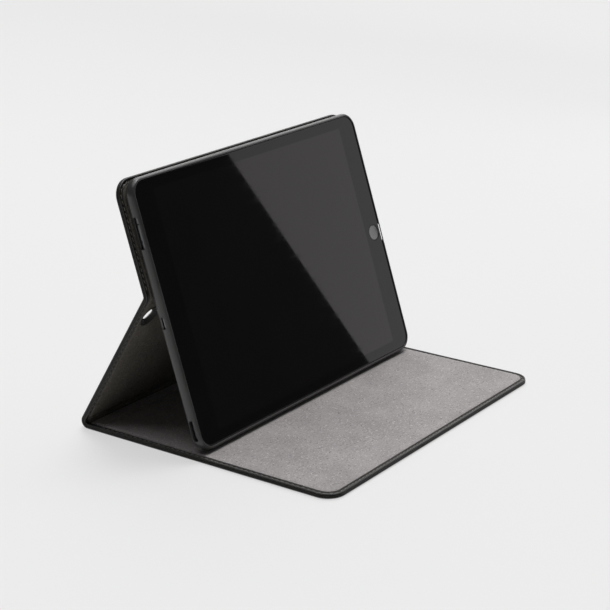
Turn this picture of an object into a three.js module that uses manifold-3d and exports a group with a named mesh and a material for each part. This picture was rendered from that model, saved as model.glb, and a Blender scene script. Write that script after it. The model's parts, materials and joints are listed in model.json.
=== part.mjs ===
// Folding tablet case standing as an easel, with a stand-in tablet in its tray.
// Millimetres, +Z up, +X along the folds, -Y towards the user.
import * as THREE from "three";
import { mergeVertices } from "three/addons/utils/BufferGeometryUtils.js";
import Module from "manifold-3d";

const wasm = await Module();
wasm.setup();

// ---- driving dimensions -------------------------------------------------------
const caseWidth = 240.8; // along the folds
const halfDepth = 99.4; // the standing case's footprint is twice this deep
const screenLean = THREE.MathUtils.degToRad(18); // the screen leans back from upright

// every panel is leather outside, a stiffening board, and a lining inside
const leather = 1.2;
const board = 1.4;
const lining = 0.8;
const layerGap = 0.1;
const rimHeight = 3.4; // the leather's turned edge, from the outer face
const rimWidth = 3.4;
const outerFace = -1.5; // outer face of a panel, measured from its hinge line
const cornerRadius = 12;

// the folds
const beadRadius = 1.4; // rolled leather along each fold
const leatherSetback = 2; // from a fold's axis to the panel's leather
const rearBoardSetback = 4.8; // the boards stay further back at the rear fold
const spineWidth = 12; // cover fold to rear fold
const frontGap = 0.1; // leather bead above the table

// the tray and the tablet that it is shaped around
const tabletWidth = 233.3;
const tabletHeight = 167.8;
const tabletThickness = 6.1;
const tabletRadius = 8.6;
const tabletClearance = 0.3;
const trayWall = 2.1; // under the tablet
const traySideWall = 2.5; // round its sides and top
const trayFloor = 2;
const trayLip = 0.7; // the walls stand this far in front of the glass
const trayEdgeRadius = 3; // rounded edge all round the tray's back
const foldToGlassBottom = 98.5; // along the screen, from the middle fold down
const foldToGlassFace = 11.4; // from the middle fold forward to the glass
const upperPanelTop = 73.2; // along the screen, from the middle fold up
const glassBottomHeight = 7.72; // above the table
const glassBottomDepth = -1.8; // along Y

// ---- positions worked out from them -------------------------------------------
const up = { y: Math.sin(screenLean), z: Math.cos(screenLean) };
const back = { y: Math.cos(screenLean), z: -Math.sin(screenLean) };
const rearFold = { y: halfDepth - beadRadius, z: beadRadius + frontGap };
const middleFold = {
  y: glassBottomDepth + foldToGlassBottom * up.y + foldToGlassFace * back.y,
  z: glassBottomHeight + foldToGlassBottom * up.z + foldToGlassFace * back.z,
};
const coverFold = { y: rearFold.y - spineWidth, z: rearFold.z };
const legLength = Math.hypot(rearFold.y - middleFold.y, middleFold.z - rearFold.z);
const legAngle = Math.PI - Math.atan2(middleFold.z - rearFold.z, rearFold.y - middleFold.y);
const coverLength = coverFold.y + halfDepth;

const leatherTop = outerFace + leather;
const boardBottom = leatherTop + layerGap;
const liningBottom = boardBottom + board + layerGap;
const innerFace = liningBottom + lining;
const pocketSide = caseWidth / 2 - rimWidth; // half width inside the turned edges
const layerSide = pocketSide - 0.2;

const cavitySide = tabletWidth / 2 + tabletClearance;
const trayBack = foldToGlassFace - tabletThickness - tabletClearance - trayFloor;
const cavityFloor = trayBack + trayFloor;
const trayFront = foldToGlassFace + trayLip;
const cavityBottom = -foldToGlassBottom;
const cavityTop = cavityBottom + tabletHeight + 2 * tabletClearance;
const tabletMiddle = (cavityBottom + cavityTop) / 2;

// ---- materials ----------------------------------------------------------------
function finish(color, roughness, metalness = 0) {
  return () => new THREE.MeshStandardMaterial({ color, roughness, metalness });
}
const blackLeather = finish(0x24221f, 0.55);
const greySuede = finish(0x8b8883, 0.95);
const darkSuede = finish(0x3a3835, 0.95);
const greyBoard = finish(0x6f6a60, 0.9);
const trayPlastic = finish(0x2b2a29, 0.5);
const bondSheet = finish(0x1b1b1b, 0.9);
const magnetSteel = finish(0x9a9a98, 0.35, 1);
const blackGlass = finish(0x08080a, 0.06);
const tabletMetal = finish(0x6e7074, 0.4, 1);
const darkMetal = finish(0x3a3a3c, 0.35, 0.8);

// ---- solids -------------------------------------------------------------------
function toSolid(geometry) {
  const bare = geometry.clone();
  bare.deleteAttribute("normal");
  bare.deleteAttribute("uv");
  const merged = mergeVertices(bare, 1e-4);
  return new wasm.Manifold(
    new wasm.Mesh({
      numProp: 3,
      vertProperties: new Float32Array(merged.attributes.position.array),
      triVerts: new Uint32Array(merged.index.array),
    }),
  );
}

function toGeometry(solid) {
  const mesh = solid.getMesh();
  const geometry = new THREE.BufferGeometry();
  geometry.setAttribute("position", new THREE.BufferAttribute(mesh.vertProperties, 3));
  geometry.setIndex(new THREE.BufferAttribute(mesh.triVerts, 1));
  const flat = geometry.toNonIndexed();
  flat.computeVertexNormals();
  return flat;
}

// a rectangle whose corners are rounded by one radius at the near end, one at the far end
function outline(side, near, far, nearRadius, farRadius) {
  const corners = [
    { x: side, y: near, r: nearRadius, from: -Math.PI / 2 },
    { x: side, y: far, r: farRadius, from: 0 },
    { x: -side, y: far, r: farRadius, from: Math.PI / 2 },
    { x: -side, y: near, r: nearRadius, from: Math.PI },
  ];
  const steps = 8;
  const points = [];
  for (const corner of corners) {
    if (corner.r === 0) {
      points.push(new THREE.Vector2(corner.x, corner.y));
      continue;
    }
    const cx = corner.x - Math.sign(corner.x) * corner.r;
    const cy = corner.y + (corner.y === near ? corner.r : -corner.r);
    for (let step = 0; step <= steps; step += 1) {
      const angle = corner.from + (step / steps) * (Math.PI / 2);
      points.push(new THREE.Vector2(cx + corner.r * Math.cos(angle), cy + corner.r * Math.sin(angle)));
    }
  }
  return new THREE.Shape(points);
}

function slab(shape, bottom, top) {
  const geometry = new THREE.ExtrudeGeometry(shape, {
    depth: top - bottom,
    bevelEnabled: false,
    curveSegments: 8,
  });
  return toSolid(geometry.translate(0, 0, bottom));
}

function block(x0, x1, y0, y1, z0, z1) {
  const geometry = new THREE.BoxGeometry(x1 - x0, y1 - y0, z1 - z0);
  return toSolid(geometry.translate((x0 + x1) / 2, (y0 + y1) / 2, (z0 + z1) / 2));
}

// a round bar standing along Z
function roundBar(x, y, radius, z0, z1, segments = 32) {
  const geometry = new THREE.CylinderGeometry(radius, radius, z1 - z0, segments);
  return toSolid(geometry.rotateX(Math.PI / 2).translate(x, y, (z0 + z1) / 2));
}

function named(name, solid, material) {
  const mesh = new THREE.Mesh(toGeometry(solid), material());
  mesh.name = name;
  return mesh;
}

// ---- panels: local y runs away from the hinge, local z from outside to inside ----
// the turned edge stops short of a fold at rimStart, so that the fold can close
function leatherShell(near, far, radius, pocketFar, rimStart = near) {
  const shell = slab(outline(caseWidth / 2, near, far, 0, radius), outerFace, outerFace + rimHeight);
  const pocketRadius = Math.max(radius - rimWidth, 0);
  const pocket = slab(outline(pocketSide, -1, pocketFar, 0, pocketRadius), leatherTop, innerFace + 1);
  const clear = block(-caseWidth, caseWidth, -1, rimStart, leatherTop, innerFace + 1);
  return shell.subtract(pocket).subtract(clear);
}

function layer(near, far, radius, bottom, top) {
  return slab(outline(layerSide, near, far, 0, radius), bottom, top);
}

// rolled leather along a fold, centred on the group's own X axis
function foldBead(name) {
  const bead = new THREE.CylinderGeometry(beadRadius, beadRadius, caseWidth - 1, 16, 1);
  return named(name, toSolid(bead.rotateZ(Math.PI / 2)), blackLeather);
}

function hinged(position, angle, reversed = false) {
  const group = new THREE.Group();
  group.position.set(0, position.y, position.z);
  group.rotation.set(angle, 0, reversed ? Math.PI : 0);
  return group;
}

// ---- front cover, lying on the table -----------------------------------------
function frontCover() {
  const group = hinged(coverFold, 0, true);
  const far = coverLength;
  const pocketFar = far - rimWidth;
  const layerFar = pocketFar - 0.2;
  const layerRadius = cornerRadius - rimWidth;
  const shell = leatherShell(leatherSetback, far, cornerRadius, pocketFar);
  let stiffener = layer(leatherSetback + 0.4, layerFar, layerRadius, boardBottom, boardBottom + board);

  // two magnets near the free edge, let into the board
  const magnet = { length: 30, width: 8, thickness: 1 };
  const magnetAcross = 80;
  const magnetAlong = far - 16;
  const names = { "-1": "cover_magnet_right", 1: "cover_magnet_left" };
  for (const side of [-1, 1]) {
    const x0 = side * magnetAcross - magnet.length / 2;
    const x1 = side * magnetAcross + magnet.length / 2;
    const y0 = magnetAlong - magnet.width / 2;
    const y1 = magnetAlong + magnet.width / 2;
    stiffener = stiffener.subtract(block(x0 - 0.3, x1 + 0.3, y0 - 0.3, y1 + 0.3, -5, 5));
    const z0 = boardBottom + 0.1;
    group.add(named(names[side], block(x0, x1, y0, y1, z0, z0 + magnet.thickness), magnetSteel));
  }
  group.add(named("cover_leather", shell, blackLeather));
  group.add(named("cover_board", stiffener, greyBoard));
  const suede = layer(leatherSetback + 0.4, layerFar, layerRadius, liningBottom, innerFace);
  group.add(named("cover_suede", suede, greySuede));
  return group;
}

// ---- spine strip between the cover and the rear fold ---------------------------
function spine() {
  const group = hinged(rearFold, 0, true);
  const far = spineWidth - leatherSetback;
  const shell = leatherShell(leatherSetback, far, 0, spineWidth + 1, rearBoardSetback);
  group.add(named("spine_leather", shell, blackLeather));
  const strip = layer(rearBoardSetback, far, 0, boardBottom, boardBottom + board);
  group.add(named("spine_board", strip, greyBoard));
  const inner = layer(rearBoardSetback, far, 0, liningBottom, innerFace);
  group.add(named("spine_suede", inner, greySuede));
  return group;
}

// ---- rear leg: lower half of the back cover -----------------------------------
const eyelet = { x: -108.5, fromFold: 17, bore: 4.2, tube: 4.9, flange: 6.4, hole: 5.1 };

function eyeletRing(x, y) {
  // profile of the ring, closed on itself, turned about its axis
  const flange = 0.4;
  const proud = 0.05;
  const low = outerFace - proud;
  const high = innerFace + proud;
  const profile = [
    [eyelet.bore, low - flange],
    [eyelet.flange, low - flange],
    [eyelet.flange, low],
    [eyelet.tube, low],
    [eyelet.tube, high],
    [eyelet.flange, high],
    [eyelet.flange, high + flange],
    [eyelet.bore, high + flange],
    [eyelet.bore, low - flange],
  ].map(([radius, height]) => new THREE.Vector2(radius, height));
  const ring = new THREE.LatheGeometry(profile, 32);
  return toSolid(ring.rotateX(Math.PI / 2).translate(x, y, 0));
}

function rearLeg() {
  const group = hinged(rearFold, legAngle);
  const far = legLength - leatherSetback;
  const layerFar = far - 0.2;
  const holeY = legLength - eyelet.fromFold;
  const hole = roundBar(eyelet.x, holeY, eyelet.hole, -5, 5);
  const shell = leatherShell(leatherSetback, far, 0, legLength + 1, rearBoardSetback);
  group.add(named("leg_leather", shell.subtract(hole), blackLeather));
  const stiffener = layer(rearBoardSetback, layerFar, 0, boardBottom, boardBottom + board);
  group.add(named("leg_board", stiffener.subtract(hole), greyBoard));
  const inner = layer(rearBoardSetback, layerFar, 0, liningBottom, innerFace);
  group.add(named("leg_suede", inner.subtract(hole), darkSuede));
  group.add(named("leg_eyelet", eyeletRing(eyelet.x, holeY), darkMetal));
  return group;
}

// ---- upper half of the back cover, bonded to the tray --------------------------
function upperPanel() {
  const group = hinged(middleFold, Math.PI / 2 - screenLean);
  const far = upperPanelTop;
  const pocketFar = far - rimWidth;
  const layerFar = pocketFar - 0.2;
  const near = leatherSetback + 0.2;
  const layerRadius = cornerRadius - rimWidth;
  const shell = leatherShell(leatherSetback, far, cornerRadius, pocketFar);
  group.add(named("upper_leather", shell, blackLeather));
  const stiffener = layer(near, layerFar, layerRadius, boardBottom, boardBottom + board);
  group.add(named("upper_board", stiffener, greyBoard));
  const inner = layer(near, layerFar, layerRadius, liningBottom, innerFace);
  group.add(named("upper_suede", inner, darkSuede));
  const padInset = 12;
  const padShape = outline(layerSide - padInset, near + 4, layerFar - padInset / 2, 6, 6);
  const pad = slab(padShape, innerFace + 0.05, trayBack - 0.05);
  group.add(named("tray_bond_sheet", pad, bondSheet));
  return group;
}

// ---- tray ----------------------------------------------------------------------
const powerKey = { middle: 39.25, length: 11 }; // along the screen from the fold
const keyMiddle = trayBack + 5.1; // height of the side keys' centres
const keyHeight = 2.4;
const keyOpening = 2.8; // half the height of the opening over the key
const keyProud = 0.35; // the key stands this far out of the tablet's edge

function tray() {
  const group = hinged(middleFold, Math.PI / 2 - screenLean);
  const bottom = cavityBottom - trayWall;
  const top = cavityTop + traySideWall;
  const side = cavitySide + traySideWall;
  const cavityRadius = tabletRadius + tabletClearance;
  const outerRadius = cavityRadius + traySideWall;
  const r = trayEdgeRadius;
  const core = outline(side - r, bottom + r, top - r, outerRadius - r, outerRadius - r);
  const hull = new THREE.ExtrudeGeometry(core, {
    depth: 20,
    bevelEnabled: true,
    bevelThickness: r,
    bevelSize: r,
    bevelSegments: 5,
    curveSegments: 8,
  });
  const blank = toSolid(hull.translate(0, 0, trayBack + r));
  const front = block(-200, 200, -200, 200, trayFront, 60);
  const cavityShape = outline(cavitySide, cavityBottom, cavityTop, cavityRadius, cavityRadius);
  const cavity = slab(cavityShape, cavityFloor, trayFront + 5);
  let body = blank.subtract(front).subtract(cavity);

  // openings through the left wall: power key, microphone, headphone socket
  const through = side + 5;
  const leftOpenings = [
    { y: powerKey.middle, length: 19.5, half: keyOpening },
    { y: -17, length: 7, half: 1.3 },
    { y: -86, length: 13, half: 1.8 },
  ];
  for (const slot of leftOpenings) {
    const [y0, y1] = [slot.y - slot.length / 2, slot.y + slot.length / 2];
    const [z0, z1] = [keyMiddle - slot.half, keyMiddle + slot.half];
    body = body.subtract(block(-through, -cavitySide + 1, y0, y1, z0, z1));
  }
  // a shallow groove up the wall's inner face lets the key out with the tablet
  const groove = keyProud - tabletClearance + 0.3;
  const slack = 0.5;
  const [g0, g1] = [powerKey.middle - powerKey.length / 2, powerKey.middle + powerKey.length / 2];
  const grooveTop = trayFront + 5;
  body = body.subtract(
    block(-cavitySide - groove, -cavitySide + 1, g0 - slack, g1 + slack, keyMiddle, grooveTop),
  );
  // right wall: the charging socket, whose opening also takes the inside of the lip away
  const port = { middle: -15.7, length: 12.4, low: cavityFloor + 0.3, bridge: 1.3, strip: 0.5 };
  const [p0, p1] = [port.middle - port.length / 2, port.middle + port.length / 2];
  const bridgeBack = trayFront - port.bridge;
  body = body.subtract(block(cavitySide - 1, through, p0, p1, port.low, bridgeBack));
  body = body.subtract(
    block(cavitySide - 1, side - port.strip, p0, p1, bridgeBack - 1, trayFront + 5),
  );
  group.add(named("tray", body, trayPlastic));
  return group;
}

// ---- stand-in tablet -------------------------------------------------------------
function tablet() {
  const group = hinged(middleFold, Math.PI / 2 - screenLean);
  const side = tabletWidth / 2;
  const bottom = tabletMiddle - tabletHeight / 2;
  const top = tabletMiddle + tabletHeight / 2;
  const backFace = foldToGlassFace - tabletThickness;
  const glass = 0.7;
  const glassBack = foldToGlassFace - glass;
  const r = 1.8;
  const core = outline(side - r, bottom + r, top - r, tabletRadius - r, tabletRadius - r);
  const shellGeometry = new THREE.ExtrudeGeometry(core, {
    depth: 12,
    bevelEnabled: true,
    bevelThickness: r,
    bevelSize: r,
    bevelSegments: 3,
    curveSegments: 8,
  });
  const wall = 2;
  const pocketRadius = tabletRadius - wall;
  const pocketShape = outline(side - wall, bottom + wall, top - wall, pocketRadius, pocketRadius);
  const pocketFloor = backFace + 1.2;
  let housing = toSolid(shellGeometry.translate(0, 0, backFace + r))
    .subtract(block(-200, 200, -200, 200, glassBack - 0.1, 60))
    .subtract(slab(pocketShape, pocketFloor, glassBack + 5));

  // the side key sits in a pocket of the housing with room to travel inwards
  const keyLength = 1.75;
  const seat = keyLength - keyProud + 0.5;
  const half = keyHeight / 2;
  const slack = 0.15;
  const keyBox = (x0, x1, y0, y1, extra) =>
    block(x0, x1, y0, y1, keyMiddle - half - extra, keyMiddle + half + extra);
  const p0 = powerKey.middle - powerKey.length / 2;
  const p1 = powerKey.middle + powerKey.length / 2;
  housing = housing.subtract(keyBox(-side - 2, -side + seat, p0 - slack, p1 + slack, slack));
  const power = keyBox(-side - keyProud, -side - keyProud + keyLength, p0, p1, 0);
  group.add(named("power_key", power, darkMetal));

  // display and battery pack under the glass
  const display = { width: 199.4, height: 154.2, radius: 1 };
  const displayShape = outline(
    display.width / 2,
    tabletMiddle - display.height / 2,
    tabletMiddle + display.height / 2,
    display.radius,
    display.radius,
  );
  group.add(named("tablet_display", slab(displayShape, pocketFloor + 0.3, glassBack - 0.3), blackGlass));

  const home = { x: 109.4, radius: 5.6, gap: 0.15, depth: 1.7, recess: 0.1 };
  const glassShape = outline(side, bottom, top, tabletRadius, tabletRadius);
  const homeHole = roundBar(home.x, tabletMiddle, home.radius + home.gap, 0, 30, 40);
  const cover = slab(glassShape, glassBack, foldToGlassFace).subtract(homeHole);
  group.add(named("tablet_glass", cover, blackGlass));
  const homeTop = foldToGlassFace - home.recess;
  const homeSeat = homeTop - home.depth - 0.6;
  const seatBore = roundBar(home.x, tabletMiddle, home.radius + 0.3, homeSeat, 30, 40);
  group.add(named("tablet_housing", housing.subtract(seatBore), tabletMetal));
  const button = roundBar(home.x, tabletMiddle, home.radius, homeTop - home.depth, homeTop, 40);
  group.add(named("home_button", button, darkMetal));
  return group;
}

// ---- the assembly ----------------------------------------------------------------
function bead(name, fold) {
  const group = hinged(fold, 0);
  group.add(foldBead(name));
  return group;
}

const group = new THREE.Group();
group.add(frontCover());
group.add(bead("cover_fold_leather", coverFold));
group.add(spine());
group.add(bead("rear_fold_leather", rearFold));
group.add(rearLeg());
group.add(bead("middle_fold_leather", middleFold));
group.add(upperPanel());
group.add(tray());
group.add(tablet());

export default group;
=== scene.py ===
# Folding tablet case standing as an easel: leather panels, suede lining, moulded tray, stand-in tablet.
import json
import math
import bmesh
import bpy
from mathutils import Matrix, Vector, noise


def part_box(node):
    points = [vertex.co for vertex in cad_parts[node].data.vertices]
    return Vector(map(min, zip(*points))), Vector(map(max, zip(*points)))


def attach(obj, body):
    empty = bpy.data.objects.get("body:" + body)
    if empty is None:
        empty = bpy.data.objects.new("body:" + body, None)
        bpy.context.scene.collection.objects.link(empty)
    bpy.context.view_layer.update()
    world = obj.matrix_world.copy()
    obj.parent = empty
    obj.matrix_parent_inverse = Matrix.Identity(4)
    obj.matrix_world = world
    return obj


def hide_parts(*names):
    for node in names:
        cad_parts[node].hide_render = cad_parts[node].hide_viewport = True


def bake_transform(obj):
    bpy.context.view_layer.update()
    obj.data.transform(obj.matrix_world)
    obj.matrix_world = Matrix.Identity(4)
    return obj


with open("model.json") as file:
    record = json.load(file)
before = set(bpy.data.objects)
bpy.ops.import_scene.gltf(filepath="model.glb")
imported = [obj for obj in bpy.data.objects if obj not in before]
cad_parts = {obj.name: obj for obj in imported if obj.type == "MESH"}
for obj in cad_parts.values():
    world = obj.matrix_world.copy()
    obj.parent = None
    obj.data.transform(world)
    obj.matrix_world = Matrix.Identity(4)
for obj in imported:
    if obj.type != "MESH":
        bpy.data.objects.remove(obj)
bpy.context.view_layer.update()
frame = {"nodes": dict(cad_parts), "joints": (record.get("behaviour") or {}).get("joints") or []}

MM = 0.001
X = Vector((1, 0, 0))
Y = Vector((0, 1, 0))
Z = Vector((0, 0, 1))

# ---- places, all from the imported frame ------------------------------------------
joints = {joint["name"]: joint for joint in frame["joints"]}
cover_hinge = Vector(joints["cover_fold"]["pos_m"])
rear_hinge = Vector(joints["rear_fold"]["pos_m"])
middle_hinge = Vector(joints["stand_fold"]["pos_m"])
front = Vector(joints["tablet_out"]["axis"]).normalized()
up = front.cross(X)
leg_run = middle_hinge - rear_hinge
leg_along = leg_run.normalized()
leg_length = leg_run.length / MM
cover_low, cover_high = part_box("cover_leather")
case_side = cover_high.x / MM
cover_far = (cover_hinge.y - cover_low.y) / MM


def panel_place(hinge, along, across):
    """Frame of a panel: Y runs away from its hinge, Z from its outside to its inside."""
    inward = across.cross(along)
    turn = Matrix((across, along, inward)).transposed().to_4x4()
    return Matrix.Translation(hinge) @ turn


cover_place = panel_place(cover_hinge, -Y, -X)
leg_place = panel_place(rear_hinge, leg_along, X)
holder_place = panel_place(middle_hinge, up, X)


def inside(place, node):
    """Box of a CAD node in a panel's own frame, in millimetres."""
    back = place.inverted()
    spots = [back @ vertex.co / MM for vertex in frame["nodes"][node].data.vertices]
    low = Vector(min(spot[axis] for spot in spots) for axis in range(3))
    high = Vector(max(spot[axis] for spot in spots) for axis in range(3))
    return low, high


# ---- sizes shared by the pieces, in millimetres ------------------------------------
outer_face = -1.5
leather = 1.2
rim_top = 1.9
rim_width = 3.4
lining_low = 1.25
lining_top = 2.1
lining_gap = 0.15  # between the turned leather edge and the suede
corner = 12.0
flat_reach = 4.0  # the fold pieces run this far into the panels
rear_reach = 7.0
spine_width = (rear_hinge.y - cover_hinge.y) / MM
stitch_inset = 2.35
stitch_pitch = 3.8
stitch_top = 1.2
stitch_bottom = outer_face + 0.02


# ---- node materials ----------------------------------------------------------------
noise_range = (0.3, 0.7)  # where most of a noise texture's values lie


def new_material(name, **sockets):
    made = bpy.data.materials.new(name)
    made.use_nodes = True
    shader = made.node_tree.nodes["Principled BSDF"]
    for socket, value in sockets.items():
        shader.inputs[socket.replace("_", " ")].default_value = value
    return made, made.node_tree, shader


def texture_space(tree, stretch=(1, 1, 1), turn=(0, 0, 0)):
    source = tree.nodes.new("ShaderNodeTexCoord")
    mapping = tree.nodes.new("ShaderNodeMapping")
    mapping.inputs["Scale"].default_value = stretch
    mapping.inputs["Rotation"].default_value = turn
    tree.links.new(source.outputs["Object"], mapping.inputs["Vector"])
    return mapping.outputs["Vector"]


def noise_value(tree, space, scale, detail=3.0, roughness=0.55):
    node = tree.nodes.new("ShaderNodeTexNoise")
    node.inputs["Scale"].default_value = scale
    node.inputs["Detail"].default_value = detail
    node.inputs["Roughness"].default_value = roughness
    tree.links.new(space, node.inputs["Vector"])
    return node.outputs["Fac"]


def cell_value(tree, space, scale, feature="F1"):
    node = tree.nodes.new("ShaderNodeTexVoronoi")
    node.feature = feature
    node.inputs["Scale"].default_value = scale
    tree.links.new(space, node.inputs["Vector"])
    return node.outputs["Distance"]


def remap(tree, value, low_in, high_in, low_out, high_out):
    node = tree.nodes.new("ShaderNodeMapRange")
    ends = {"From Min": low_in, "From Max": high_in, "To Min": low_out, "To Max": high_out}
    for socket, number in ends.items():
        node.inputs[socket].default_value = number
    tree.links.new(value, node.inputs["Value"])
    return node.outputs["Result"]


def arithmetic(tree, operation, first, second):
    node = tree.nodes.new("ShaderNodeMath")
    node.operation = operation
    for socket, value in zip(node.inputs, (first, second)):
        if isinstance(value, (int, float)):
            socket.default_value = value
        else:
            tree.links.new(value, socket)
    return node.outputs["Value"]


def colour_mix(tree, factor, first, second):
    node = tree.nodes.new("ShaderNodeMix")
    node.data_type = "RGBA"
    tree.links.new(factor, node.inputs["Factor"])
    for socket, value in (("A", first), ("B", second)):
        target = [i for i in node.inputs if i.name == socket and i.type == "RGBA"][0]
        if isinstance(value, tuple):
            target.default_value = (*value, 1)
        else:
            tree.links.new(value, target)
    return [o for o in node.outputs if o.type == "RGBA"][0]


def raised(tree, shader, height, depth, strength=1.0, below=None):
    """Bump of the given depth in metres, on top of another bump if there is one."""
    node = tree.nodes.new("ShaderNodeBump")
    node.inputs["Strength"].default_value = strength
    node.inputs["Distance"].default_value = depth
    tree.links.new(height, node.inputs["Height"])
    if below is not None:
        tree.links.new(below, node.inputs["Normal"])
    tree.links.new(node.outputs["Normal"], shader.inputs["Normal"])
    return node.outputs["Normal"]


def convex_edge_mask(tree, low=0.52, high=0.62):
    node = tree.nodes.new("ShaderNodeNewGeometry")
    return remap(tree, node.outputs["Pointiness"], low, high, 0, 1)


def leather_material(name, dark, light, grain=900.0, depth=0.00007):
    made, tree, shader = new_material(name, Specular_IOR_Level=0.4)
    space = texture_space(tree)
    cloud = noise_value(tree, space, 45, 4)
    cells = cell_value(tree, space, grain, "DISTANCE_TO_EDGE")
    pits = noise_value(tree, space, grain * 3, 3)
    base = colour_mix(tree, remap(tree, cloud, *noise_range, 0, 1), dark, light)
    # painted shade: the grain's creases are darkened towards half the dark tone
    crease_shade = remap(tree, cells, 0.0, 0.25, 0.45, 0)
    crease_shaded = colour_mix(tree, crease_shade, base, tuple(part * 0.5 for part in dark))
    # paler sharp convex edges, in pits: partly real rubbed wear, partly a painted highlight on the turned
    # edge's beads
    lighter_edges = arithmetic(tree, "MULTIPLY", convex_edge_mask(tree), remap(tree, pits, 0.35, 0.7, 0.05, 0.4))
    lighter_edge_colour = tuple(part * 2.6 for part in light)
    tree.links.new(colour_mix(tree, lighter_edges, crease_shaded, lighter_edge_colour), shader.inputs["Base Color"])
    rough = arithmetic(tree, "ADD", remap(tree, cloud, *noise_range, 0.25, 0.36),
                       remap(tree, cells, 0, 0.3, 0.08, 0))
    tree.links.new(rough, shader.inputs["Roughness"])
    domes = arithmetic(tree, "ADD", remap(tree, cells, 0, 0.35, 0, 0.8), remap(tree, pits, 0.2, 0.8, 0, 0.35))
    raised(tree, shader, domes, depth)
    return made


def suede_material(name, dark, light, sheen=0.35):
    made, tree, shader = new_material(name, Roughness=0.95, Specular_IOR_Level=0.15)
    shader.inputs["Sheen Weight"].default_value = sheen
    shader.inputs["Sheen Roughness"].default_value = 0.4
    shader.inputs["Sheen Tint"].default_value = (*light, 1)
    flat = texture_space(tree)
    brushed = texture_space(tree, (0.6, 1.5, 1.5), (0, 0, 0.25))
    mottle = noise_value(tree, flat, 38, 3, 0.55)
    streaks = noise_value(tree, brushed, 260, 4, 0.6)
    nap = noise_value(tree, flat, 560, 5, 0.85)
    flecks = noise_value(tree, texture_space(tree, (0.6, 1.2, 1), (0, 0, 0.5)), 900, 1)
    sparks = noise_value(tree, flat, 1000, 0)
    fibre = noise_value(tree, flat, 3800, 2, 0.6)
    shade = arithmetic(tree, "ADD", remap(tree, mottle, *noise_range, 0, 0.36),
                       remap(tree, streaks, *noise_range, 0, 0.16))
    shade = arithmetic(tree, "ADD", shade, remap(tree, nap, 0.36, 0.64, 0, 0.48))
    napped = colour_mix(tree, shade, dark, light)
    pressed = tuple(part * 0.4 for part in dark)
    raised_hairs = tuple(min(1.0, part * 1.6) for part in light)
    napped = colour_mix(tree, remap(tree, flecks, 0.62, 0.7, 0, 0.6), napped, pressed)
    napped = colour_mix(tree, remap(tree, sparks, 0.7, 0.78, 0, 0.6), napped, raised_hairs)
    tree.links.new(napped, shader.inputs["Base Color"])
    pile = arithmetic(tree, "ADD", remap(tree, nap, 0.2, 0.8, 0, 0.6), remap(tree, fibre, 0.2, 0.8, 0, 0.5))
    raised(tree, shader, pile, 0.00012, 0.8)
    return made


def moulded_material(name, dark, light, roughness=(0.34, 0.46), depth=0.000025):
    made, tree, shader = new_material(name, Specular_IOR_Level=0.5)
    space = texture_space(tree)
    cloud = noise_value(tree, space, 30, 4)
    speckle = noise_value(tree, space, 2600, 2)
    scuffs = noise_value(tree, texture_space(tree, (1, 6, 1), (0.4, 0.2, 0.7)), 160, 5, 0.7)
    base = colour_mix(tree, remap(tree, cloud, *noise_range, 0, 1), dark, light)
    lighter_edges = arithmetic(tree, "MULTIPLY", convex_edge_mask(tree, 0.53, 0.66), 0.3)
    lighter_edge_colour = tuple(part * 2.0 for part in light)
    tree.links.new(colour_mix(tree, lighter_edges, base, lighter_edge_colour), shader.inputs["Base Color"])
    rough = arithmetic(tree, "ADD", remap(tree, cloud, *noise_range, *roughness),
                       remap(tree, scuffs, 0.55, 0.75, 0, 0.12))
    tree.links.new(rough, shader.inputs["Roughness"])
    raised(tree, shader, speckle, depth)
    return made


def metal_material(name, dark, light, roughness=(0.28, 0.4), scale=3200.0, depth=0.000012):
    made, tree, shader = new_material(name, Metallic=1.0)
    space = texture_space(tree)
    cloud = noise_value(tree, space, 60, 3)
    blast = noise_value(tree, space, scale, 2)
    colour = colour_mix(tree, remap(tree, cloud, *noise_range, 0, 1), dark, light)
    tree.links.new(colour, shader.inputs["Base Color"])
    tree.links.new(remap(tree, blast, *noise_range, *roughness), shader.inputs["Roughness"])
    raised(tree, shader, blast, depth)
    return made


def glass_material(name, dark, light, index, tint=(1, 1, 1)):
    """Polished cover glass, painted or with the display behind it, with faint wipe marks."""
    made, tree, shader = new_material(name, IOR=index, Specular_Tint=(*tint, 1))
    space = texture_space(tree)
    cloud = noise_value(tree, space, 18, 3)
    wiped = noise_value(tree, texture_space(tree, (1, 1, 5), (0, 0.5, 0)), 60, 5, 0.6)
    dust = noise_value(tree, space, 2400, 1)
    colour = colour_mix(tree, remap(tree, cloud, *noise_range, 0, 1), dark, light)
    tree.links.new(colour, shader.inputs["Base Color"])
    rough = arithmetic(tree, "ADD", remap(tree, wiped, 0.45, 0.75, 0.02, 0.045),
                       remap(tree, dust, 0.68, 0.8, 0, 0.06))
    tree.links.new(rough, shader.inputs["Roughness"])
    return made


def board_material(name, dark, light):
    made, tree, shader = new_material(name, Roughness=0.9, Specular_IOR_Level=0.2)
    fibres = noise_value(tree, texture_space(tree, (1, 5, 1), (0, 0, 0.3)), 420, 5, 0.7)
    flecks = cell_value(tree, texture_space(tree), 650)
    shade = arithmetic(tree, "ADD", remap(tree, fibres, *noise_range, 0, 0.7),
                       remap(tree, flecks, 0.1, 0.5, 0, 0.3))
    tree.links.new(colour_mix(tree, shade, dark, light), shader.inputs["Base Color"])
    raised(tree, shader, fibres, 0.00008)
    return made


def thread_material(name, dark, light):
    made, tree, shader = new_material(name, Roughness=0.6, Specular_IOR_Level=0.4)
    plies = noise_value(tree, texture_space(tree, (1, 1, 1), (0.6, 0.6, 0.6)), 2600, 3)
    colour = colour_mix(tree, remap(tree, plies, *noise_range, 0, 1), dark, light)
    tree.links.new(colour, shader.inputs["Base Color"])
    raised(tree, shader, plies, 0.00006)
    return made


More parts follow.
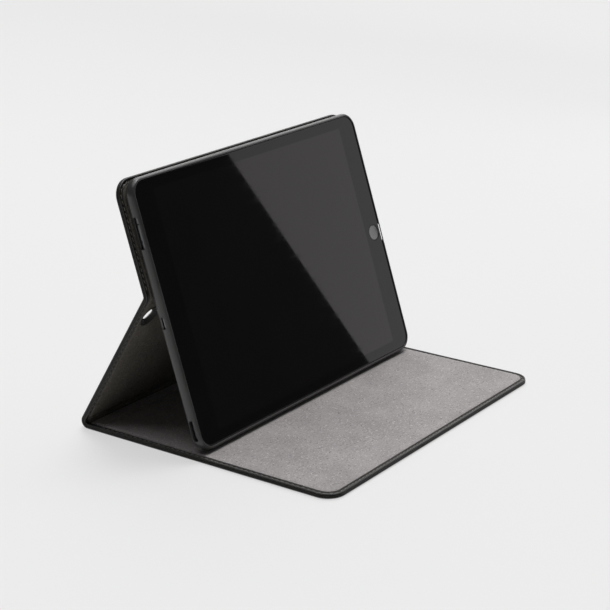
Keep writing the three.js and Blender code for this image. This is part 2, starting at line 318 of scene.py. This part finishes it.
outer_leather = leather_material("outer_leather", (0.017, 0.016, 0.0145), (0.03, 0.028, 0.0255))
fold_leather = leather_material("creased_leather", (0.015, 0.014, 0.013), (0.03, 0.028, 0.0255), 760, 0.0001)
grey_suede = suede_material("grey_suede", (0.235, 0.221, 0.22), (0.415, 0.391, 0.39))
# painted shade: the same suede as grey_suede, painted darker and browner for the linings of the leg, its
# folds and the tray's panel, which lie in shade under the tray
dark_suede = suede_material("dark_suede", (0.068, 0.062, 0.053), (0.165, 0.152, 0.132), 0.15)
tray_plastic = moulded_material("tray_plastic", (0.027, 0.0262, 0.0255), (0.044, 0.0428, 0.0415), (0.29, 0.4))
foam = moulded_material("foam_sheet", (0.012, 0.012, 0.012), (0.026, 0.026, 0.026), (0.7, 0.85), 0.0001)
fibreboard = board_material("fibreboard", (0.2, 0.18, 0.15), (0.36, 0.33, 0.28))
plated_steel = metal_material("plated_steel", (0.5, 0.5, 0.49), (0.62, 0.62, 0.6), (0.2, 0.32))
painted_eyelet = moulded_material("painted_eyelet", (0.03, 0.03, 0.03), (0.06, 0.058, 0.055), (0.25, 0.35))
blasted_metal = metal_material("blasted_metal", (0.13, 0.134, 0.14), (0.18, 0.185, 0.19), (0.36, 0.5))
bezel_glass = glass_material("bezel_glass", (0.0016, 0.0016, 0.0018), (0.0026, 0.0026, 0.0028), 1.47)
display_glass = glass_material("display_glass", (0.0022, 0.0019, 0.0022), (0.0034, 0.003, 0.0034),
                               1.58, (1, 0.93, 0.965))
button_face = glass_material("button_face", (0.19, 0.19, 0.191), (0.235, 0.235, 0.236), 1.5)
ring_metal = metal_material("ring_metal", (0.05, 0.05, 0.051), (0.09, 0.09, 0.092), (0.16, 0.26))
# painted highlight: the dark thread is coloured light grey for the shine along its stitches, with tone that
# differs between its plies
thread = thread_material("thread", (0.1, 0.095, 0.086), (0.24, 0.228, 0.208))


# ---- mesh building -----------------------------------------------------------------
def finished(name, points, faces, place, materials, smooth_angle=38.0):
    """Mesh object from points in millimetres in a panel's frame."""
    mesh = bpy.data.meshes.new(name)
    mesh.from_pydata([place @ (Vector(point) * MM) for point in points], [], faces)
    work = bmesh.new()
    work.from_mesh(mesh)
    bmesh.ops.remove_doubles(work, verts=work.verts, dist=1e-7)
    bmesh.ops.recalc_face_normals(work, faces=work.faces)
    work.to_mesh(mesh)
    work.free()
    mesh.shade_smooth()
    mesh.set_sharp_from_angle(angle=math.radians(smooth_angle))
    for material in materials:
        mesh.materials.append(material)
    piece = bpy.data.objects.new(name, mesh)
    bpy.context.scene.collection.objects.link(piece)
    return piece


def spaced(start, end, count):
    return [start + (end - start) * step / count for step in range(count)]


def rim_path(side, near, far, radius, inset, near_radius=None, steps=10):
    """Points round a panel, inset from its edge: open at the hinge, or closed if near_radius is given."""
    closed = near_radius is not None
    s = side - inset
    top = far - inset
    r = max(radius - inset, 0.15)
    bottom = near + inset if closed else near
    n = max(near_radius - inset, 0.15) if closed else 0.0
    corners = [(s - r, top - r, r, 0.0), (-s + r, top - r, r, 0.5 * math.pi)]
    if closed:
        corners += [(-s + n, bottom + n, n, math.pi), (s - n, bottom + n, n, 1.5 * math.pi)]
    points = [] if closed else [(s, y) for y in spaced(bottom, top - r, 20)]
    for index, (cx, cy, radius_here, start) in enumerate(corners):
        for step in range(steps + 1):
            angle = start + 0.5 * math.pi * step / steps
            points.append((cx + radius_here * math.cos(angle), cy + radius_here * math.sin(angle)))
        if closed or index == 0:
            last = points[-1]
            following = corners[(index + 1) % len(corners)]
            goal = (following[0] + following[2] * math.cos(following[3]),
                    following[1] + following[2] * math.sin(following[3]))
            points += [(last[0] + (goal[0] - last[0]) * k / 20, last[1] + (goal[1] - last[1]) * k / 20)
                       for k in range(1, 20)]
    if not closed:
        points += [(-s, y) for y in reversed(spaced(bottom, top - r, 20))]
    return points


def swept(loops, closed):
    """Points and quads between loops that have the same number of points."""
    count = len(loops[0])
    points = [point for loop in loops for point in loop]
    faces = []
    for row in range(len(loops) - 1):
        for column in range(count if closed else count - 1):
            after = (column + 1) % count
            faces.append((row * count + column, row * count + after,
                          (row + 1) * count + after, (row + 1) * count + column))
    return points, faces


def closed_solid(name, place, profile, size, materials, holes=()):
    """Solid between closed loops of a panel.
    profile holds (inset, height), and size is (side, near, far, near_radius, radius)."""
    side, near, far, near_radius, radius = size
    loops = []
    for inset, height in profile:
        loops.append([(x, y, height) for x, y in rim_path(side, near, far, radius, inset, near_radius)])
    points, faces = swept(loops, True)
    count = len(loops[0])
    last = (len(loops) - 1) * count
    faces.append(tuple(range(count)))
    faces.append(tuple(range(last, last + count)))
    piece = finished(name, points, faces, place, materials)
    for hole in holes:
        cut(piece, hole)
    return piece


def cut(piece, tool):
    """Takes the tool's shape out of a piece and removes the tool."""
    modifier = piece.modifiers.new("cut", "BOOLEAN")
    modifier.object = tool
    modifier.operation = "DIFFERENCE"
    modifier.solver = "EXACT"
    bpy.context.view_layer.update()
    evaluated = piece.evaluated_get(bpy.context.evaluated_depsgraph_get())
    mesh = bpy.data.meshes.new_from_object(evaluated)
    piece.modifiers.remove(modifier)
    piece.data = mesh
    mesh.set_sharp_from_angle(angle=math.radians(38))
    bpy.data.objects.remove(tool)


def turned(name, place, centre, profile, materials, segments=56):
    """Turned piece about the panel's Z through centre: profile holds (radius, height), closed on itself."""
    points = []
    faces = []
    count = len(profile)
    for step in range(segments):
        angle = 2 * math.pi * step / segments
        for radius, height in profile:
            points.append((centre[0] + radius * math.cos(angle),
                           centre[1] + radius * math.sin(angle), height))
    for step in range(segments):
        after = (step + 1) % segments
        for k in range(count):
            k2 = (k + 1) % count
            faces.append((step * count + k, after * count + k, after * count + k2, step * count + k2))
    return finished(name, points, faces, place, materials)


def bar(name, place, x, y, z, wide=0.0, wide_end=None, radius=1.0):
    """Cutting tool along the panel's X between x[0] and x[1], with rounded corners in Y and Z.
    It widens by wide towards wide_end, which leaves a chamfer."""
    x0, x1 = x
    stations = [(x0, 0.0), (x1, 0.0)]
    if wide_end is not None:
        step = 0.7 if x1 > x0 else -0.7
        stations = [(x0, 0.0), (wide_end - step, 0.0), (wide_end, wide), (x1, wide)]
    loops = []
    for where, grow in stations:
        loop = []
        r = min(radius, (z[1] - z[0]) / 2 - 0.05) + grow
        corners = [(y[1] + grow - r, z[1] + grow - r, 0.0),
                   (y[0] - grow + r, z[1] + grow - r, 0.5 * math.pi),
                   (y[0] - grow + r, z[0] - grow + r, math.pi),
                   (y[1] + grow - r, z[0] - grow + r, 1.5 * math.pi)]
        for cy, cz, start in corners:
            for k in range(7):
                angle = start + 0.5 * math.pi * k / 6
                loop.append((where, cy + r * math.cos(angle), cz + r * math.sin(angle)))
        loops.append(loop)
    points, faces = swept(loops, True)
    count = len(loops[0])
    last = (len(loops) - 1) * count
    faces += [tuple(range(count)), tuple(range(last, last + count))]
    return finished(name, points, faces, place, [tray_plastic])


# ---- stitches ------------------------------------------------------------------------
def along_path(path, pitch):
    """Evenly spaced places and directions along a path."""
    total = sum(math.dist(a, b) for a, b in zip(path, path[1:]))
    count = int(total // pitch)
    margin = (total - (count - 1) * pitch) / 2
    found = []
    walked = 0.0
    target = margin
    for a, b in zip(path, path[1:]):
        length = math.dist(a, b)
        while target <= walked + length and len(found) < count:
            share = (target - walked) / length
            place = (a[0] + (b[0] - a[0]) * share, a[1] + (b[1] - a[1]) * share)
            found.append((place, ((b[0] - a[0]) / length, (b[1] - a[1]) / length)))
            target += pitch
        walked += length
    return found


def stitch_row(name, place, path, height, facing, body):
    """Row of separate thread stitches lying slightly slanted along a path."""
    sides = 7
    half = 0.36 * stitch_pitch
    slant = 0.2
    sections = [(-1.0, 0.12, -0.3), (-0.82, 0.22, -0.08), (-0.4, 0.27, 0.1), (0.0, 0.28, 0.14),
                (0.4, 0.27, 0.1), (0.82, 0.22, -0.08), (1.0, 0.12, -0.3)]
    points = []
    faces = []
    for (x, y), (dx, dy) in along_path(path, stitch_pitch):
        ax, ay = dx - slant * dy, dy + slant * dx
        base = len(points)
        for where, radius, lift in sections:
            for k in range(sides):
                angle = 2 * math.pi * k / sides
                out = radius * 1.15 * math.cos(angle)
                rise = radius * math.sin(angle) + lift
                points.append((x + ax * where * half - ay * out, y + ay * where * half + ax * out,
                               height + facing * rise))
        for row in range(len(sections) - 1):
            for k in range(sides):
                k2 = (k + 1) % sides
                first = base + row * sides
                faces.append((first + k, first + k2, first + sides + k2, first + sides + k))
        last = base + (len(sections) - 1) * sides
        faces += [tuple(range(base, base + sides)), tuple(range(last, last + sides))]
    piece = finished(name, points, faces, place, [thread])
    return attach(piece, body)


# ---- folds: pieces curved round the joints' hinges -----------------------------------
def fold_curve(fold, height, rows=6, turns=10):
    """Line across a fold at a height above the panels' hinge line, from the first panel to the second.
    All heights share one centre of bending, so the layers stay parallel."""
    hinge, first, second, centre, reach = fold
    opening = first[0].angle(second[0])
    meet = abs(centre) / math.tan(opening / 2) if opening < 3.1 else 1.6
    line = [hinge + (first[0] * d + first[1] * height) * MM for d in spaced(reach[0], meet, rows)]
    if opening < 3.1:
        middle = hinge + (first[0] * meet + first[1] * centre) * MM
        away = math.copysign(1, height - centre)
        start, end = first[1] * away, second[1] * away
        spokes = [start.slerp(end, step / turns) for step in range(turns + 1)]
        line += [middle + spoke * abs(height - centre) * MM for spoke in spokes]
    else:
        start, end = first[0] * meet, second[0] * meet
        line += [hinge + (start.lerp(end, step / turns) + first[1] * height) * MM
                 for step in range(turns + 1)]
    after = [hinge + (second[0] * d + second[1] * height) * MM for d in spaced(reach[1], meet, rows)]
    return line + after[::-1]


def fold_run(name, fold, section, material):
    """A panel's cross-section, (across, height) points, carried round a fold."""
    lines = {height: fold_curve(fold, height) for _, height in section}
    steps = len(next(iter(lines.values())))
    loops = []
    for step in range(steps):
        loops.append([(lines[height][step] + X * across * MM) / MM for across, height in section])
    points, faces = swept(loops, True)
    count = len(section)
    last = (steps - 1) * count
    faces += [tuple(range(count)), tuple(range(last, last + count))]
    return finished(name, points, faces, Matrix.Identity(4), [material])


def fold_piece(name, fold, section, material, nodes=()):
    """Fold piece curved round a joint's hinge at the panels' present angle; it hides the CAD nodes it
    replaces.
    """
    piece = fold_run(name, fold, section, material)
    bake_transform(piece)
    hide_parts(*nodes)
    return piece


leg_inward = X.cross(leg_along)
cover_bend = (cover_hinge, (-Y, Z), (Y, Z), 0.0, (flat_reach, spine_width - rear_reach))
rear_bend = (rear_hinge, (-Y, Z), (leg_along, leg_inward), 3.5, (rear_reach, rear_reach))
middle_bend = (middle_hinge, (-leg_along, leg_inward), (up, front), -4.0, (flat_reach, flat_reach))


# ---- leather panels --------------------------------------------------------------------
# the turned edge in section, as (inset, height): three beads with a seam between each two
turned_edge = [(14, outer_face), (1.6, outer_face), (0.95, -1.42), (0.42, -1.18), (0.12, -0.85), (0.02, -0.5),
               (0.12, -0.2), (0.5, -0.06), (0.8, 0.02), (0.5, 0.1), (0.16, 0.22), (0.04, 0.44), (0.14, 0.7),
               (0.46, 0.84), (0.8, 0.92), (0.52, 1.02), (0.26, 1.18), (0.2, 1.42), (0.3, 1.68), (0.54, 1.86),
               (0.84, rim_top + 0.02), (1.14, 1.84), (1.36, 1.64), (1.56, 1.3), (1.9, 1.1), (2.35, 1.06),
               (2.7, 1.18), (2.95, 1.5), (3.14, 1.62), (3.34, 1.54), (rim_width, 1.3),
               (rim_width, outer_face + leather)]


def both_sides(half):
    """Closed cross-section from the half on the right, given as (inset, height)."""
    right = [(case_side - inset, height) for inset, height in half]
    return right + [(-across, height) for across, height in reversed(right)]


leather_section = both_sides(turned_edge + [(14, outer_face + leather)])
lining_edge = rim_width + lining_gap
lining_half = [(60, lining_low), (lining_edge + 0.1, lining_low), (lining_edge, lining_low + 0.2),
               (lining_edge, lining_top - 0.45), (lining_edge + 0.12, lining_top - 0.16),
               (lining_edge + 0.45, lining_top), (lining_edge + 2.5, lining_top + 0.05),
               (60, lining_top + 0.05)]
lining_section = both_sides(lining_half)


def turned_shell(name, place, near, far, radius, material):
    """Leather panel with a turned edge round its sides and its far end."""
    loops = []
    for inset, height in turned_edge:
        path = rim_path(case_side, near, far, radius, inset)
        wave = 0.05 if inset < rim_width else 0.0
        loops.append([(x, y, height + wave * noise.noise(Vector((x, y, 7.0)) * 0.06)) for x, y in path])
    points, faces = swept(loops, False)
    count = len(loops[0])
    last = (len(loops) - 1) * count
    faces.append(tuple(range(count)))
    faces.append(tuple(range(last, last + count)))
    starts = [row * count for row in range(len(loops))]
    ends = [row * count + count - 1 for row in reversed(range(len(loops)))]
    faces.append(tuple(starts + ends))
    return finished(name, points, faces, place, [material])


def panel(name, place, near, far, radius, body, nodes):
    piece = turned_shell(name, place, near, far, radius, outer_leather)
    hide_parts(*nodes)
    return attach(piece, body)


def straight_panel(name, place, near, far, nodes):
    """Leather panel between two folds: the turned edge runs along its two sides only."""
    rows = max(2, int((far - near) / 6))
    stations = spaced(near, far, rows) + [far]
    loops = [[(x, y, height) for x, height in leather_section] for y in stations]
    points, faces = swept(loops, True)
    count = len(leather_section)
    last = rows * count
    faces += [tuple(range(count)), tuple(range(last, last + count))]
    piece = finished(name, points, faces, place, [outer_leather])
    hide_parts(*nodes)
    return piece


def lining(name, place, near, far, radius, body, node, material, hole=()):
    """Suede glued flat inside a leather panel."""
    side = case_side - lining_edge
    top = lining_top
    profile = [(0.1, lining_low), (0.0, lining_low + 0.2), (0.0, top - 0.45), (0.12, top - 0.16), (0.45, top),
               (2.5, top + 0.05), (9.0, top + 0.05)]
    piece = closed_solid(name, place, profile, (side, near, far, 0.5, radius), [material], hole)
    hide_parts(node)
    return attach(piece, body)


def make_cover():
    far = cover_far
    panel("cover_leather_shell", cover_place, flat_reach, far, corner, "cover", ["cover_leather"])
    lining("cover_suede_lining", cover_place, flat_reach, far - lining_edge, corner - rim_width,
           "cover", "cover_suede", grey_suede)
    path = rim_path(case_side, flat_reach, far, corner, stitch_inset)
    stitch_row("cover_stitches_inside", cover_place, path, stitch_top, 1, "cover")
    stitch_row("cover_stitches_outside", cover_place, path, stitch_bottom, -1, "cover")


def side_stitches(name, place, near, far, body):
    for word, side in (("left", -1), ("right", 1)):
        line = [(side * (case_side - stitch_inset), near), (side * (case_side - stitch_inset), far)]
        stitch_row(f"{name}_stitches_{word}_inside", place, line, stitch_top, 1, body)
        stitch_row(f"{name}_stitches_{word}_outside", place, line, stitch_bottom, -1, body)


eyelet_low, eyelet_high = inside(leg_place, "leg_eyelet")
eyelet_spot = ((eyelet_low.x + eyelet_high.x) / 2, (eyelet_low.y + eyelet_high.y) / 2)
eyelet_bore = 7.6  # through the leg's layers
eyelet_edge = 8.0
eyelet_waist = 3.7


def round_tool(place, spot, radius, low, high):
    """Cutting tool: a round bar along the panel's Z."""
    ring = [(0.001, low), (radius, low), (radius, high), (0.001, high)]
    return turned("bore", place, spot, ring, [outer_leather], 48)


def leg_bore():
    return round_tool(leg_place, eyelet_spot, eyelet_bore, -5, 5)


def make_eyelet():
    """Dished ring, thin at its waist, pressed over the leg's layers."""
    low, high = outer_face, lining_top + 0.05
    middle = (low + high) / 2
    flare = []
    for share in (1.0, 0.86, 0.7, 0.5, 0.3, 0.14, 0.05):
        radius = eyelet_waist + (7.0 - eyelet_waist) * share
        rise = 0.12 + (high - middle + 0.08) * share ** 0.85
        flare.append((radius, rise))
    top = [(eyelet_edge, high), (eyelet_edge - 0.12, high + 0.2), (7.5, high + 0.3)]
    top += [(radius, middle + rise) for radius, rise in flare]
    under = [(radius, middle - rise) for radius, rise in reversed(flare)]
    under += [(7.5, low - 0.3), (eyelet_edge - 0.12, low - 0.2), (eyelet_edge, low)]
    body = [(eyelet_bore - 0.1, low), (eyelet_bore - 0.1, high)]
    ring = turned("leg_eyelet_ring", leg_place, eyelet_spot, top + under + body, [painted_eyelet])
    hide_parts("leg_eyelet")
    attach(ring, "leg")


def make_leg_board():
    """Stiffening board with a bore for the dished ring."""
    low, high = inside(leg_place, "leg_board")
    profile = [(0.0, low.z), (0.0, high.z)]
    size = (high.x, low.y, high.y, 0.4, 0.4)
    piece = closed_solid("leg_stiffening_board", leg_place, profile, size, [fibreboard], [leg_bore()])
    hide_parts("leg_board")
    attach(piece, "leg")


def make_leg():
    far = leg_length - flat_reach
    shell = straight_panel("leg_leather_panel", leg_place, rear_reach, far, ["leg_leather"])
    cut(shell, leg_bore())
    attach(shell, "leg")
    lining("leg_suede_lining", leg_place, rear_reach, far, 0.5, "leg", "leg_suede", dark_suede,
           [leg_bore()])
    side_stitches("leg", leg_place, rear_reach, far, "leg")
    make_leg_board()
    make_eyelet()


def make_upper():
    far = inside(holder_place, "upper_leather")[1].y
    panel("upper_leather_panel", holder_place, flat_reach, far, corner, "holder", ["upper_leather"])
    lining("upper_suede_lining", holder_place, flat_reach, far - rim_width - lining_gap, corner - rim_width,
           "holder", "upper_suede", dark_suede)
    path = rim_path(case_side, flat_reach, far, corner, stitch_inset)
    stitch_row("upper_stitches_inside", holder_place, path, stitch_top, 1, "holder")
    stitch_row("upper_stitches_outside", holder_place, path, stitch_bottom, -1, "holder")


def make_folds():
    fold_piece("cover_fold_strip", cover_bend, leather_section, fold_leather,
               ["cover_fold_leather", "spine_leather"])
    fold_piece("cover_fold_lining", cover_bend, lining_section, grey_suede,
               ["spine_suede"])
    fold_piece("rear_fold_strip", rear_bend, leather_section, fold_leather,
               ["rear_fold_leather"])
    fold_piece("rear_fold_lining", rear_bend, lining_section, dark_suede)
    fold_piece("middle_fold_strip", middle_bend, leather_section, fold_leather,
               ["middle_fold_leather"])
    fold_piece("middle_fold_lining", middle_bend, lining_section, dark_suede)


# ---- tray ---------------------------------------------------------------------------------
tray_low, tray_high = inside(holder_place, "tray")
glass_low, glass_high = inside(holder_place, "tablet_glass")
tablet_gap = 0.3
wall = 2.1
tray_side = glass_high.x + tablet_gap + wall
tray_top = glass_high.y + tablet_gap + wall
glass_corner = 8.6
key_height = tray_low.z + 5.1
power_low, power_high = inside(holder_place, "power_key")
power_middle = (power_low.y + power_high.y) / 2
groove_depth = 0.2
beyond = 3.0  # the cutting tools run this far past a face


def round_steps(centre, radius, start, end, count):
    """Points of an arc in (inset, height)."""
    found = []
    for step in range(count + 1):
        angle = math.radians(start + (end - start) * step / count)
        found.append((centre[0] + radius * math.cos(angle), centre[1] + radius * math.sin(angle)))
    return found


def tray_profile():
    """Section of the tray from the middle of its back, round the wall, to the floor inside."""
    back = tray_low.z
    top = tray_high.z
    floor = back + 2
    profile = [(20, back), (5.2, back)]
    for step in range(1, 9):
        angle = math.radians(90 * step / 8)
        profile.append((5.0 - 5.0 * math.sin(angle), back + 5.4 * (1 - math.cos(angle))))
    outer = wall - 0.35
    deep = 3.2
    for step in range(10):
        angle = math.radians(90 * step / 9)
        profile.append((outer - outer * math.cos(angle), top - deep + deep * math.sin(angle)))
    profile += round_steps((wall - 0.3, top - 0.3), 0.3, 90, 0, 4)
    profile += [(wall, floor + 0.6), (wall + 0.2, floor + 0.15), (wall + 0.6, floor), (9, floor)]
    return profile


def cut_left_openings(piece):
    """Power key, microphone and headphone openings; the first two are open to the tray's back."""
    left = -tray_side
    through = (left + wall + 0.6, left - beyond)
    back = tray_low.z - beyond
    for middle, length, low, high in ((power_middle, 19.5, back, key_height + 1.8),
                                      (-17, 7, back, key_height + 1.0),
                                      (-86, 13, key_height - 1.8, key_height + 1.8)):
        y = (middle - length / 2, middle + length / 2)
        cut(piece, bar("opening", holder_place, through, y, (low, high), 0.45, left, 1.4))


def cut_charging_opening(piece):
    """The opening's front part takes the inside of the lip away and leaves a strip of it."""
    middle, length, strip, bridge = -15.7, 12.4, 0.9, 1.3
    right = tray_side
    inner = right - wall - 0.6
    floor = tray_low.z + 2
    y = (middle - length / 2, middle + length / 2)
    cut(piece, bar("opening", holder_place, (inner, right + beyond), y,
                   (floor + 0.3, tray_high.z - bridge), radius=1.2))
    cut(piece, bar("opening", holder_place, (inner, right - strip), y,
                   (tray_high.z - bridge - 1, tray_high.z + 2), radius=0.3))


def cut_key_groove(piece):
    """Shallow groove that lets the power key out with the tablet."""
    y = (power_middle - 6, power_middle + 6)
    inner = -tray_side + wall
    z = (key_height, tray_high.z + 2)
    cut(piece, bar("groove", holder_place, (inner + 0.6, inner - groove_depth), y, z, radius=0.15))


def make_tray():
    radius = glass_corner + tablet_gap + wall
    size = (tray_side, tray_low.y, tray_top, radius, radius)
    piece = closed_solid("tray_shell", holder_place, tray_profile(), size, [tray_plastic])
    cut_left_openings(piece)
    cut_charging_opening(piece)
    cut_key_groove(piece)
    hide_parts("tray")
    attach(piece, "holder")


# ---- stand-in tablet -------------------------------------------------------------------------
display_low, display_high = inside(holder_place, "tablet_display")
home_low, home_high = inside(holder_place, "home_button")
home_spot = ((home_low.x + home_high.x) / 2, (home_low.y + home_high.y) / 2)


def nearest_face(mesh, spot):
    return min(mesh.polygons, key=lambda face: (face.center - spot).length)


def make_glass():
    """Cover glass with softly ground edges, the display's field a face of its own."""
    face = glass_high.z
    low = glass_low.z
    grown = tablet_gap - 0.1
    side = glass_high.x + grown
    profile = [(0.25, low), (0.05, low + 0.12), (0.0, low + 0.28), (0.06, face - 0.2), (0.2, face - 0.07),
               (0.42, face - 0.012), (0.7, face), (0.95, face)]
    loops = []
    for inset, height in profile:
        path = rim_path(side, glass_low.y - grown, glass_high.y + grown, glass_corner, inset, glass_corner)
        loops.append([(x, y, height) for x, y in path])
    field = rim_path(display_high.x, display_low.y, display_high.y, 0.8, 0.0, 0.8)
    loops.append([(x, y, face) for x, y in field])
    points, faces = swept(loops, True)
    count = len(loops[0])
    last = (len(loops) - 1) * count
    faces += [tuple(range(count)), tuple(range(last, last + count))]
    piece = finished("tablet_cover_glass", points, faces, holder_place, [bezel_glass, display_glass])
    middle = Vector((0, (display_low.y + display_high.y) / 2, face))
    nearest_face(piece.data, holder_place @ (middle * MM)).material_index = 1
    cut(piece, round_tool(holder_place, home_spot, 5.75, low - 2, face + 2))
    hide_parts("tablet_glass")
    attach(piece, "tablet")


def make_home_button():
    top = home_high.z
    radius = (home_high.x - home_low.x) / 2
    base = top - 1.6
    ring = [(radius - 0.6, base), (radius, base), (radius, top - 0.12), (radius - 0.06, top - 0.03),
            (radius - 0.18, top), (radius - 0.42, top), (radius - 0.55, top - 0.05),
            (radius - 0.6, top - 0.14)]
    trim = turned("home_button_ring", holder_place, home_spot, ring, [ring_metal])
    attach(trim, "home_button")
    inner = radius - 0.65
    dish = [(0.001, base + 0.1), (inner, base + 0.1), (inner, top - 0.16)]
    dish += [(inner * share, top - 0.16 - 0.2 * (1 - share * share))
             for share in (0.9, 0.75, 0.6, 0.45, 0.3, 0.15)]
    dish += [(0.001, top - 0.36)]
    face = turned("home_button_face", holder_place, home_spot, dish, [button_face])
    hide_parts("home_button")
    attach(face, "home_button")


def make_power_key():
    """Pill-shaped key that stands out of the tablet's left side."""
    low, high = inside(holder_place, "power_key")
    place = holder_place @ Matrix.Rotation(math.radians(180), 4, "Z")
    x = (-high.x, -low.x)
    y = (-high.y, -low.y)
    middle = (high.z + low.z) / 2
    loops = []
    rounding = [(x[0], 0.0), (x[1] - 0.35, 0.0), (x[1] - 0.12, 0.08), (x[1] - 0.02, 0.25), (x[1], 0.5)]
    for where, shrink in rounding:
        loop = []
        r = (high.z - low.z) / 2 - shrink
        for centre, start in ((y[1] - r - shrink, -0.5 * math.pi), (y[0] + r + shrink, 0.5 * math.pi)):
            for k in range(13):
                angle = start + math.pi * k / 12
                loop.append((where, centre + r * math.cos(angle), middle + r * math.sin(angle)))
        loops.append(loop)
    points, faces = swept(loops, True)
    count = len(loops[0])
    last = (len(loops) - 1) * count
    faces += [tuple(range(count)), tuple(range(last, last + count))]
    piece = finished("power_key_cap", points, faces, place, [blasted_metal])
    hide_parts("power_key")
    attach(piece, "power_key")


def paint_cad_nodes():
    """Materials of the CAD nodes that stay as they are."""
    looks = {
        "cover_board": fibreboard, "spine_board": fibreboard, "upper_board": fibreboard,
        "cover_magnet_left": plated_steel, "cover_magnet_right": plated_steel, "tray_bond_sheet": foam,
        "tablet_housing": blasted_metal, "tablet_display": display_glass,
    }
    for node, look in looks.items():
        mesh = frame["nodes"][node].data
        mesh.materials.clear()
        mesh.materials.append(look)


# ---- stage, light and camera -------------------------------------------------------------------
def stage_card(name, corners, colour, glow, seen=False):
    """Glowing sheet of the studio, which casts no shadow."""
    mesh = bpy.data.meshes.new(name)
    mesh.from_pydata(corners, [], [(0, 1, 2, 3)])
    made, _, shader = new_material(name, Roughness=1.0, Specular_IOR_Level=0.0)
    shader.inputs["Base Color"].default_value = (*colour, 1)
    shader.inputs["Emission Color"].default_value = (1, 1, 1, 1)
    shader.inputs["Emission Strength"].default_value = glow
    mesh.materials.append(made)
    card = bpy.data.objects.new(name, mesh)
    card.visible_shadow = False
    card.visible_camera = seen  # a card is only mirrored, and never stands in a view's way
    bpy.context.scene.collection.objects.link(card)
    return card


def lamp(name, kind, place, towards, strength, **settings):
    data = bpy.data.lights.new(name, kind)
    data.energy = strength
    for key, value in settings.items():
        setattr(data, key, value)
    made = bpy.data.objects.new(name, data)
    made.location = place
    made.rotation_mode = "QUATERNION"
    made.rotation_quaternion = (Vector(towards) - Vector(place)).to_track_quat("-Z", "Y")
    bpy.context.scene.collection.objects.link(made)


def make_stage():
    reach = 12.0
    stage_card("floor", [(-reach, -reach, 0), (reach, -reach, 0), (reach, reach, 0), (-reach, reach, 0)],
               (0.26, 0.26, 0.26), 0.55, seen=True)
    # white card to the right, which the right half of the screen mirrors; its front edge slants
    stage_card("side_card", [(1, -0.736, 0), (1, 0.15, 0), (1, 0.15, 0.6), (1, -0.807, 0.6)],
               (0.1, 0.1, 0.1), 0.7)
    # softbox above it, which the tray's rounded rim mirrors
    stage_card("soft_box", [(1, -0.5, 0.64), (1, 0.9, 0.64), (0.8, 0.9, 1.3), (0.8, -0.5, 1.3)],
               (0.0, 0.0, 0.0), 1.9)
    # dark card beside it, which the left half mirrors
    stage_card("dark_card", [(1.02, -2.2, 0), (1.02, -0.6, 0), (1.02, -0.6, 0.75), (1.02, -2.2, 0.75)],
               (0.0, 0.0, 0.0), 0.05)
    world = bpy.data.worlds.new("studio")
    world.use_nodes = True
    backdrop = world.node_tree.nodes["Background"]
    backdrop.inputs["Color"].default_value = (1.0, 1.0, 1.0, 1)
    backdrop.inputs["Strength"].default_value = 0.05
    bpy.context.scene.world = world
    lamp("overhead", "SUN", (0, 0, 2), (-0.2, -0.4, 0), 1.5, angle=math.radians(60))
    lamp("key", "SUN", (0.5, 0.0, 1.5), (0, 0, 0), 1.05, angle=math.radians(20))
    lamp("right_light", "SUN", (1.0, 0.7, 0.85), (0, 0, 0), 1.1, angle=math.radians(45))


# ---- camera, at the photograph's angle -----------------------------------------------
camera_place = (-0.87054, -0.61187, 0.42735)
camera_yaw = math.radians(54.63)  # from +Y towards +X
camera_pitch = math.radians(18.631)
camera_lens = 101.67


def make_camera():
    data = bpy.data.cameras.new("camera")
    data.sensor_width = 36.0
    data.lens = camera_lens
    data.clip_start = 0.02
    camera = bpy.data.objects.new("camera", data)
    camera.location = camera_place
    camera.rotation_euler = (math.radians(90) - camera_pitch, 0, -camera_yaw)
    bpy.context.scene.collection.objects.link(camera)
    bpy.context.scene.camera = camera


make_camera()
make_stage()
make_cover()
make_leg()
make_upper()
make_folds()
make_tray()
make_glass()
make_home_button()
make_power_key()
paint_cad_nodes()
bpy.context.scene.view_settings.view_transform = "Standard"
